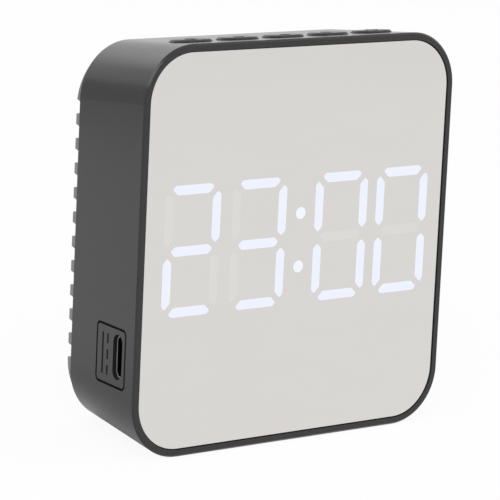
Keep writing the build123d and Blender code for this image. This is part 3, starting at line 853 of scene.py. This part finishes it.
def lead_recipe(material):
    """Rows of bent leads: out of the chip, down to the board and out along it."""
    recipe = Recipe("Bent leads")
    number = recipe.size("Count", "Int")
    turn = recipe.size("Turn", "Vector")
    pitch, width, sheet, rise, out, foot = recipe.sizes("Pitch", "Width", "Sheet", "Rise", "Out", "Foot")
    lead = recipe.join([
        recipe.block(width, out, sheet, recipe.vector(y=out * 0.5, z=rise)),
        recipe.block(width, sheet, rise, recipe.vector(y=out, z=rise * 0.5)),
        recipe.block(width, foot, sheet, recipe.vector(y=out + foot * 0.5, z=sheet * 0.5)),
    ])
    row = recipe.row(lead, number, pitch)
    recipe.close(recipe.repeat(recipe.points(), row, turn), material)
    return recipe


# Pieces


class CLOCK_OT_case(bpy.types.Operator):
    """Finish the moulded case, the ribbed back and the battery door"""

    bl_idname = "clock.finish_case"
    bl_label = "Finish the case"

    def execute(self, context):
        looks = settings("clock_finishes")
        case = moulded_plastic(
            "case_matt",
            looks.case_colour,
            looks.case_roughness,
            gloss=looks.case_gloss,
            painted_slot_shade=slot_shade_mask,
        )
        clothe("case_shell", case)
        cover = moulded_plastic("cover_matt", looks.cover_colour, looks.case_roughness + 0.04, grain=0.3)
        clothe("rear_cover", cover)
        clothe("battery_door", cover)
        return {"FINISHED"}


class CLOCK_OT_display(bpy.types.Operator):
    """Silver the mirror and light the digits that shine through it"""

    bl_idname = "clock.light_display"
    bl_label = "Light the display"

    lit_letters = ("abged", "abgcd", "abcdef", "abcdef")

    def segment_rules(self, display):
        """Each segment's place, turn, length, stroke and tip offsets, by letter."""
        bar_y = (display.digit_height - display.bar_stroke) / 2
        side_x = (display.digit_width - display.upright_stroke) / 2
        slant = display.gap * math.sqrt(2)
        low = slant - side_x + display.bar_length / 2
        corner_x = display.digit_width / 2 - display.tip_share * display.upright_stroke
        corner_y = display.digit_height / 2 - display.tip_share * display.bar_stroke
        high = corner_x - display.bar_length / 2 + corner_y - slant
        bar_tip = (0.5 - display.tip_share) * display.bar_stroke
        side_tip = (0.5 - display.tip_share) * display.upright_stroke
        side_y = (high + low) / 2
        level = (display.bar_length, display.bar_stroke)
        upright = (high - low, display.upright_stroke)
        return {
            "a": (0, bar_y, 0, *level, bar_tip, bar_tip),
            "b": (side_x, side_y, 90, *upright, 0, -side_tip),
            "c": (side_x, -side_y, 90, *upright, -side_tip, 0),
            "d": (0, -bar_y, 0, *level, -bar_tip, -bar_tip),
            "e": (-side_x, -side_y, 90, *upright, side_tip, 0),
            "f": (-side_x, side_y, 90, *upright, 0, side_tip),
            "g": (0, 0, 0, *level, 0, 0),
        }

    def outline(self, display, digit_x, rule):
        """Pointed outline of one segment with softened corners."""
        x, y, turn, size, stroke, start, end = rule
        half, side = size / 2, stroke / 2
        corners = [
            (-half, start),
            (-half + side + start, -side),
            (half - side - end, -side),
            (half, end),
            (half - side + end, side),
            (-half + side - start, side),
        ]
        spin = math.radians(turn)
        middle = Vector((digit_x + x, display.digit_rise + y))
        placed = [
            middle + Vector((u * math.cos(spin) - v * math.sin(spin), u * math.sin(spin) + v * math.cos(spin)))
            for u, v in corners
        ]
        return rounded(placed, display.corner)

    @staticmethod
    def inlay(name, outlines, thickness, material, slot):
        """Thin plate that lies on the mirror over flat outlines."""
        shape = bmesh.new()
        for outline in outlines:
            raised(shape, outline, on_mirror, -thickness, thickness, thickness / 2)
        add_piece(finished_mesh(name, shape), [material])

    def execute(self, context):
        looks = settings("clock_finishes")
        display = settings("clock_display")
        clothe("mirror_panel", mirror_coat("mirror_silver", looks.mirror_tint))
        clothe("mirror_tape", foam_tape("tape_foam", (0.7, 0.7, 0.68)))
        rules = self.segment_rules(display)
        lit, dark = [], []
        for digit_x, shown in zip(display.digit_places, self.lit_letters):
            for letter, rule in rules.items():
                (lit if letter in shown else dark).append(self.outline(display, digit_x, rule))
        dots_x, dots_y = display.dots_place
        rises = (display.dot_rise, -display.dot_rise)
        dots = [circle(dots_x, dots_y + rise, display.dot_diameter / 2) for rise in rises]
        segment_glow = glowing_resin("segment_glow", display.lit_colour)
        dot_glow = glowing_resin("dot_glow", display.dot_colour)
        veil = mirror_coat("mirror_over_guides", display.dark_tint)
        self.inlay("lit_digits", lit, display.proud, segment_glow, "lit_resin")
        self.inlay("lit_dots", dots, display.proud, dot_glow, "lit_resin")
        self.inlay("dark_digits", dark, display.veil, veil, "mirror")
        clothe("lit_segments", segment_glow)
        clothe("dark_segments", gloss_moulding("milky_guide", (0.62, 0.62, 0.60), 0.4))
        clothe("light_reflector", moulded_plastic("reflector_grey", (0.3, 0.3, 0.3), 0.6))
        clothe("led_chips", gloss_moulding("lamp_phosphor", (0.8, 0.62, 0.16), 0.35))
        return {"FINISHED"}


class CLOCK_OT_buttons(bpy.types.Operator):
    """Finish the top buttons and raise a plain sign on each"""

    bl_idname = "clock.mark_buttons"
    bl_label = "Mark the buttons"

    # Softened edge of a sign, in millimetres
    soft = 0.06

    def signs(self, size, stroke):
        """For each button, its filled outlines and its ring outlines about the middle of the button."""
        rays = [bar(ray * size * 0.72, ray * size, stroke * 0.7) for ray in circle(0, 0, 1, steps=8)]
        dial = circle(0, 0, size)
        hands = [bar((0, 0), (0, size * 0.55), stroke * 0.8), bar((0, 0), (size * 0.42, 0), stroke * 0.8)]
        dome = circle(0, size * 0.2, size * 0.62, steps=18)[:10]
        bell = [Vector((-size * 0.95, -size * 0.55)), Vector((size * 0.95, -size * 0.55)), *dome]
        clapper = circle(0, -size * 0.82, size * 0.2, steps=16)
        point = [Vector((-size, -size * 0.62)), Vector((size, -size * 0.62)), Vector((0, size * 0.9))]
        fall = [Vector((0, -size * 0.9)), Vector((size, size * 0.62)), Vector((-size, size * 0.62))]
        return (
            (hands, [dial]),
            ([rounded(bell, 0.2), clapper], []),
            ([rounded(point, 0.3)], []),
            ([rounded(fall, 0.3)], []),
            ([circle(0, 0, size * 0.45), *rays], []),
        )

    @staticmethod
    def crown(node):
        """Middle of a button's flat top, along the top wall from the front rim and above the wall."""
        front = on_top(0, 0, 0)
        places = [(vertex.co - front) / MM for vertex in NODES[node].data.vertices]
        height = max(place.dot(TOP_NORMAL) for place in places)
        flat = [place for place in places if height - place.dot(TOP_NORMAL) < LEVEL]
        x, along = middle([(place.dot(RIGHT), place.dot(TOP_SLOPE)) for place in flat])
        return x, along, height

    def execute(self, context):
        looks = settings("clock_finishes")
        details = settings("clock_details")
        rubber = soft_rubber("button_rubber", looks.button_colour, gloss=0.5, roughness=0.24)
        stem = gloss_moulding("plunger_ivory", (0.7, 0.66, 0.58), 0.3)
        signs = self.signs(details.sign_size, details.sign_stroke)
        for number, (plates, rings) in enumerate(signs, start=1):
            clothe(f"button_{number}", rubber)
            clothe(f"switch_plunger_{number}", stem)
            x, along, crown = self.crown(f"button_{number}")

            def place(u, v, height):
                return on_top(x + u, along + v, crown + height)

            shape = bmesh.new()
            for plate in plates:
                raised(shape, plate, place, -ROOT, details.sign_rise, self.soft)
            for ring in rings:
                raised_ring(shape, ring, details.sign_stroke, place, -ROOT, details.sign_rise, self.soft)
            mesh = finished_mesh(f"button_sign_{number}", shape)
            add_piece(mesh, [rubber], f"top_button_{number}")
        return {"FINISHED"}


class CLOCK_OT_socket(bpy.types.Operator):
    """Finish the side socket, its contacts, the groove round it and the mark beside it"""

    bl_idname = "clock.fit_socket"
    bl_label = "Fit the socket"

    # Sizes in millimetres
    pad_pitch = 0.5
    pad_width = 0.26
    pad_length = 3.2
    pad_thickness = 0.04
    pad_start = 1.5
    shadow_skin = 0.012
    groove_play = 0.02
    groove_skin = 0.05
    groove_soft = 0.01

    def execute(self, context):
        looks = settings("clock_finishes")
        details = settings("clock_details")
        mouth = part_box("usb_shell")[0].x / MM
        clothe("usb_shell", socket_plating("socket_plating", looks.metal_colour, mouth))
        clothe("usb_tongue", soft_rubber("tongue_black", (0.008, 0.008, 0.008)))
        self.pads(plated_metal("pad_gold", (0.55, 0.36, 0.12), 0.3), details)
        # Painted shadow for the engraved mark and the groove's floor
        shadow_finish = soft_rubber("engraved_shadow", looks.engraving_shadow_colour)
        self.mark(shadow_finish, details)
        self.groove(shadow_finish, details)
        return {"FINISHED"}

    def pads(self, gold, details):
        """Contact pads on both sides of the tongue: the row runs up it, each pad runs into the socket."""
        shell = middle_of("usb_shell")
        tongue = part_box("usb_tongue")[0].x / MM
        half = details.tongue_thickness / 2
        pad_x = tongue + self.pad_start + self.pad_length / 2
        sides = [spot(pad_x, shell[1], shell[2] + side * half) for side in (-1, 1)]
        sizes = {
            "Count": details.pad_count,
            "Pitch": self.pad_pitch * MM,
            "Block x": self.pad_width * MM,
            "Block y": self.pad_length * MM,
            "Block z": self.pad_thickness * MM,
            "Turn": turned_to(UP, RIGHT, UP.cross(RIGHT)),
        }
        row_recipe("Contact pads", gold).make("tongue_pads", sides, sizes, "contact_nickel")

    def mark(self, shadow_finish, details):
        """Plain direct-current sign: one line over three dashes, running up the wall, as a thin dark skin of
        painted shadow that stands for an engraving.
        """
        reach = details.mark_length / 2
        half = details.mark_stroke / 2
        dash = (details.mark_length - 2 * details.dash_gap) / 3
        up = self.height()
        lines = [((details.mark_line, up - reach + half), (details.mark_line, up + reach - half))]
        for i in range(3):
            start = up - reach + i * (dash + details.dash_gap)
            lines.append(((details.mark_dashes, start + half), (details.mark_dashes, start + dash - half)))
        shape = bmesh.new()
        for start, end in lines:
            stroke = bar(start, end, details.mark_stroke)
            raised(shape, stroke, on_left, -ROOT, self.shadow_skin, self.shadow_skin / 3)
        add_piece(finished_mesh("socket_mark", shape), [shadow_finish])

    def groove(self, shadow_finish, details):
        """Dark floor of the groove round the socket: a thin sheet of painted shadow."""
        along, up = details.groove_along, self.height()
        half_along, half_up = (size / 2 - self.groove_play for size in details.groove_size)
        corners = [Vector((along + a * half_along, up + u * half_up)) for a, u in QUARTERS]
        outline = rounded(corners, details.groove_radius, steps=8)
        stroke = details.groove_line - 2 * self.groove_play
        low = -details.groove_depth - self.groove_play
        high = -details.groove_depth + self.groove_skin
        shape = bmesh.new()
        raised_ring(shape, outline, stroke, on_left, low, high, self.groove_soft)
        add_piece(finished_mesh("groove_floor", shape), [shadow_finish])

    @staticmethod
    def height():
        """Height of the groove's middle, just under the socket's own."""
        return middle_of("usb_shell")[1] - settings("clock_details").groove_below


class CLOCK_OT_screws(bpy.types.Operator):
    """Turn the cross-head screws of the cover and the board"""

    bl_idname = "clock.drive_screws"
    bl_label = "Drive the screws"

    def execute(self, context):
        looks = settings("clock_finishes")
        details = settings("clock_details")
        recipe = screw_recipe(plated_metal("screw_black", looks.steel_colour, 0.35, along=(1, 1, 1)))
        for seed, node in enumerate(("cover_screws", "board_screws"), start=3):
            places = []
            for points in islands(node):
                tip, seat, top = levels(point[2] for point in points)
                head = (max(point[0] for point in points) - min(point[0] for point in points)) / 2
                shank = max(math.hypot(*offsets) for offsets in centred(points, tip))
                places.append(spot(*middle(points)[:2], seat))
            sizes = {
                "Head radius": head * MM,
                "Head height": (top - seat) * MM,
                "Shank radius": shank * MM,
                "Shank length": (seat - tip) * MM,
                "Thread rings": details.thread_rings,
                "Seed": seed,
            }
            piece = recipe.make(node.replace("screws", "screw_set"), places, sizes, "screw_steel")
            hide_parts(node)
        return {"FINISHED"}


class CLOCK_OT_board(bpy.types.Operator):
    """Finish the circuit board and the parts soldered to it"""

    bl_idname = "clock.dress_board"
    bl_label = "Dress the board"

    # Sizes in millimetres
    lead_width = 0.4
    lead_sheet = 0.2
    lead_out = 0.5
    lead_foot = 0.8

    def execute(self, context):
        looks = settings("clock_finishes")
        details = settings("clock_details")
        clothe("main_board", solder_mask("board_mask"))
        resin = moulded_plastic("chip_resin", (0.02, 0.02, 0.022), 0.55, grain=0.15)
        clothe("control_chip", resin)
        clothe("voltage_regulator", resin)
        clothe("clock_crystal", plated_metal("crystal_can", looks.metal_colour, 0.2))
        clothe("smoothing_capacitor", plated_metal("capacitor_can", (0.72, 0.72, 0.74), 0.3))
        clothe("buzzer", moulded_plastic("buzzer_black", (0.02, 0.02, 0.02), 0.45))
        chips = islands("small_parts")
        first = min(point[0] for points in chips for point in points)
        columns = sorted({round(middle(points)[0], 2) for points in chips})
        pitch = columns[1] - columns[0]
        width = max(point[0] for point in chips[0]) - first
        ceramic = tinned_chips("ceramic_chips", (0.28, 0.19, 0.11), (0.7, 0.69, 0.66), pitch, columns[0], width)
        clothe("small_parts", ceramic)
        clothe("tact_switches", moulded_plastic("switch_black", (0.025, 0.025, 0.027), 0.5))
        self.leads(plated_metal("lead_tin", (0.72, 0.71, 0.68), 0.3), details)
        return {"FINISHED"}

    def leads(self, tin, details):
        """Bent leads down both long sides of the control chip."""
        points = islands("control_chip")[0]
        low = [min(point[i] for point in points) for i in range(3)]
        high = [max(point[i] for point in points) for i in range(3)]
        pitch = (high[0] - low[0]) / (details.lead_count + 0.6)
        rise = (high[2] - low[2]) * 0.45
        recipe = lead_recipe(tin)
        for name, up, upwards in (("upper", high[1], 1), ("lower", low[1], -1)):
            sizes = {
                "Count": details.lead_count,
                "Pitch": pitch * MM,
                "Width": self.lead_width * MM,
                "Sheet": self.lead_sheet * MM,
                "Rise": rise * MM,
                "Out": self.lead_out * MM,
                "Foot": self.lead_foot * MM,
                "Turn": turned_to(RIGHT * -upwards, UP * upwards, BACK),
            }
            place = spot((low[0] + high[0]) / 2, up, low[2])
            recipe.make(f"chip_leads_{name}", [place], sizes, "bright_tin")


class CLOCK_OT_cells(bpy.types.Operator):
    """Sleeve the battery cells and finish their contacts"""

    bl_idname = "clock.load_cells"
    bl_label = "Load the cells"

    steps = 48
    smooth_angle = 30
    # Sizes in millimetres
    rim = 0.35
    roll = 0.5
    band = 3.2
    cup = 0.45
    cup_wall = 0.3
    flat_edge = 1.5
    nub_foot = 0.9
    nub_edge = 0.3

    def execute(self, context):
        looks = settings("clock_finishes")
        sleeve = printed_sleeve("cell_sleeve", looks.sleeve_colour)
        band = printed_sleeve("cell_band", looks.band_colour)
        steel = plated_metal("cell_steel", (0.62, 0.61, 0.6), 0.3)
        for number, points in enumerate(islands("battery_cells"), start=1):
            self.cell(f"battery_cell_{number}", points, [sleeve, band, steel])
        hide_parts("battery_cells")
        clothe("battery_contacts", plated_metal("contact_nickel", looks.metal_colour, 0.25))
        return {"FINISHED"}

    def cell(self, name, points, materials):
        """One cell turned along x: a sleeve with a band, rolled rims, a flat end and a stepped nub."""
        _, up, depth = middle(points)
        stops = levels(point[0] for point in points)

        def radius_at(stop):
            return max(math.hypot(u - up, d - depth) for x, u, d in points if abs(x - stop) < LEVEL)

        radii = {stop: radius_at(stop) for stop in stops}
        towards = 1 if radii[stops[-1]] < radii[stops[0]] else -1
        base = stops[0] if towards > 0 else stops[-1]
        size = stops[-1] - stops[0]
        radius = max(radii.values())
        nub = min(radii.values())
        shoulder = size - min(abs(x - (base + towards * size)) for x in stops if radii[x] > nub + 0.1)
        # Radius, place along the cell and material from there on: 0 sleeve, 1 band, 2 steel
        profile = [
            (radius - self.flat_edge, 0.0, 2),
            (radius - self.rim, 0.0, 2),
            (radius, self.rim, 0),
            (radius, shoulder - self.band, 1),
            (radius, shoulder - self.rim, 1),
            (radius - self.rim, shoulder, 2),
            (radius - self.rim - self.roll, shoulder, 2),
            (radius - self.rim - self.roll - self.cup_wall, shoulder - self.cup, 2),
            (nub + self.nub_foot, shoulder - self.cup, 2),
            (nub, shoulder, 2),
            (nub, size - self.nub_edge, 2),
            (nub - self.nub_edge, size, 2),
        ]
        shape = bmesh.new()
        skin(shape, [
            [spot(base + towards * x, point.x, point.y) for point in circle(up, depth, r, self.steps)]
            for r, x, _ in profile
        ])
        shape.faces.ensure_lookup_table()
        sides = self.steps * (len(profile) - 1)
        for i, face in enumerate(shape.faces):
            face.material_index = profile[i // self.steps][2] if i < sides else 2
        add_piece(finished_mesh(name, shape, self.smooth_angle), materials)


class CLOCK_OT_stage(bpy.types.Operator):
    """Lay the floor, hang the lights and set the camera"""

    bl_idname = "clock.set_stage"
    bl_label = "Set the stage"

    # Sizes and places in metres, and the least share of white in the shaded floor's reflection
    floor_half = 4.0
    floor_drop = 0.00005
    shade_place = (-0.05, 0.012, 0.0)
    shade_least = 0.2
    card_place = (-0.156, 0.246, 0.05)
    card_size = (0.24, 0.1)
    aim = (0, 0, 0.04)
    softboxes = (
        ("key_softbox", (-0.55, -0.5, 0.75), 0.7, "key_power"),
        ("fill_softbox", (0.8, -0.5, 0.6), 0.8, "fill_power"),
        ("rear_softbox", (0.1, 0.9, 0.8), 0.8, "fill_power"),
    )

    @staticmethod
    def ray(sheet, kind):
        """1 for rays of one kind."""
        return sheet.add("ShaderNodeLightPath", output=f"Is {kind} Ray")

    def seen(self, sheet):
        """1 for rays that show the background: to the camera, in mirrors and through glass."""
        camera, glossy, through = (self.ray(sheet, kind) for kind in ("Camera", "Glossy", "Transmission"))
        return camera.maths("MAXIMUM", camera.maths("MAXIMUM", camera, glossy), through)

    def world(self, context, stage):
        """White surroundings, dimmer where they only light the object."""
        world = bpy.data.worlds.new("studio")
        world.use_nodes = True
        context.scene.world = world
        world.node_tree.nodes.clear()
        sheet = Sheet(world.node_tree)
        plain = sheet.add("ShaderNodeBackground", None, {"Color": (1, 1, 1, 1), "Strength": stage.ambient})
        white = sheet.add("ShaderNodeBackground", None, {"Color": (1, 1, 1, 1), "Strength": 1.0})
        shown = sheet.add("ShaderNodeMixShader", None, {0: self.seen(sheet), 1: plain, 2: white})
        sheet.add("ShaderNodeOutputWorld", None, {"Surface": shown})

    @staticmethod
    def blank(name):
        """New material and its empty sheet of nodes."""
        material = bpy.data.materials.new(name)
        material.use_nodes = True
        material.node_tree.nodes.clear()
        return material, Sheet(material.node_tree)

    @staticmethod
    def panel(name, place, side, rise, material):
        """Flat panel about a place, as far to each side as two directions reach."""
        mesh = bpy.data.meshes.new(name)
        mesh.from_pydata([place + side * s + rise * r for s, r in QUARTERS], [], [(0, 1, 2, 3)])
        mesh.materials.append(material)
        panel = put(name, mesh)
        return panel

    def floor(self, stage):
        """Plain pale floor that keeps a soft shadow."""
        material, sheet = self.blank("pale_floor")
        matt = sheet.add("ShaderNodeBsdfDiffuse", None, {"Color": (*stage.floor_colour, 1.0)})
        white = sheet.add("ShaderNodeEmission", None, {"Color": (1, 1, 1, 1), "Strength": 1.0})
        place = sheet.add("ShaderNodeTexCoord", output="Object")
        ends = {0: place, 1: self.shade_place}
        reach = sheet.add("ShaderNodeVectorMath", {"operation": "DISTANCE"}, ends, output="Value")
        span = {
            "Value": reach,
            "From Min": stage.shade_near,
            "From Max": stage.shade_far,
            "To Min": self.shade_least,
        }
        clear = sheet.add("ShaderNodeMapRange", {"interpolation_type": "SMOOTHSTEP"}, span)
        glow = clear.maths("MAXIMUM", self.ray(sheet, "Camera"), clear) * stage.floor_glow
        shown = sheet.add("ShaderNodeMixShader", None, {0: self.seen(sheet) * glow, 1: matt, 2: white})
        sheet.add("ShaderNodeOutputMaterial", None, {"Surface": shown})
        low = Vector((0, 0, -self.floor_drop))
        away = Vector((0, self.floor_half, 0))
        self.panel("studio_floor", low, RIGHT * self.floor_half, away, material)

    def card(self, stage):
        """Grey card behind the clock on its left, which only reflections show."""
        material, sheet = self.blank("card_grey")
        grey = sheet.add("ShaderNodeEmission", None, {"Color": (1, 1, 1, 1), "Strength": stage.card_grey})
        sheet.add("ShaderNodeOutputMaterial", None, {"Surface": grey})
        place = Vector(self.card_place)
        side = Vector((0, 0, 1)).cross(place).normalized() * (self.card_size[0] / 2)
        rise = Vector((0, 0, self.card_size[1] / 2))
        card = self.panel("studio_card", place, side, rise, material)
        card.visible_camera = False
        card.visible_diffuse = False
        card.visible_shadow = False

    def softbox(self, name, place, size, power):
        """Square softbox that looks at the middle of the clock."""
        lamp = bpy.data.lights.new(name, "AREA")
        lamp.shape = "SQUARE"
        lamp.size = size
        lamp.energy = power
        box = put(name, lamp)
        box.location = place
        box.rotation_mode = "QUATERNION"
        box.rotation_quaternion = (Vector(self.aim) - Vector(place)).to_track_quat("-Z", "Y")

    def execute(self, context):
        stage = settings("clock_stage")
        self.world(context, stage)
        self.floor(stage)
        self.card(stage)
        for name, place, size, power in self.softboxes:
            self.softbox(name, place, size, getattr(stage, power))
        lens = bpy.data.cameras.new("photo_camera")
        lens.lens = stage.lens
        camera = put("photo_camera", lens)
        camera.location = stage.camera_place
        camera.rotation_euler = stage.camera_turn
        context.scene.camera = camera
        context.scene.view_settings.view_transform = "Standard"
        return {"FINISHED"}


class CLOCK_PT_sidebar(bpy.types.Panel):
    """The clock's operators and settings"""

    bl_label = "LED desk clock"
    bl_space_type = "VIEW_3D"
    bl_region_type = "UI"
    bl_category = "Clock"

    def draw(self, context):
        for step in STEPS:
            self.layout.operator(step.bl_idname)
        for group in GROUPS:
            box = self.layout.box()
            for name in GROUPS[group].__annotations__:
                box.prop(getattr(context.scene, group), name)


GROUPS = {
    "clock_finishes": ClockFinishes,
    "clock_display": ClockDisplay,
    "clock_details": ClockDetails,
    "clock_stage": ClockStage,
}
STEPS = (
    CLOCK_OT_stage,
    CLOCK_OT_case,
    CLOCK_OT_display,
    CLOCK_OT_buttons,
    CLOCK_OT_socket,
    CLOCK_OT_screws,
    CLOCK_OT_board,
    CLOCK_OT_cells,
)


def register():
    for part in (*GROUPS.values(), *STEPS, CLOCK_PT_sidebar):
        bpy.utils.register_class(part)
    for name, group in GROUPS.items():
        setattr(bpy.types.Scene, name, PointerProperty(type=group))


def unregister():
    for name in GROUPS:
        delattr(bpy.types.Scene, name)
    for part in (CLOCK_PT_sidebar, *reversed(STEPS), *reversed(GROUPS.values())):
        bpy.utils.unregister_class(part)


def main():
    register()
    for step in STEPS:
        family, name = step.bl_idname.split(".")
        getattr(getattr(bpy.ops, family), name)()


if __name__ == "__main__":
    main()
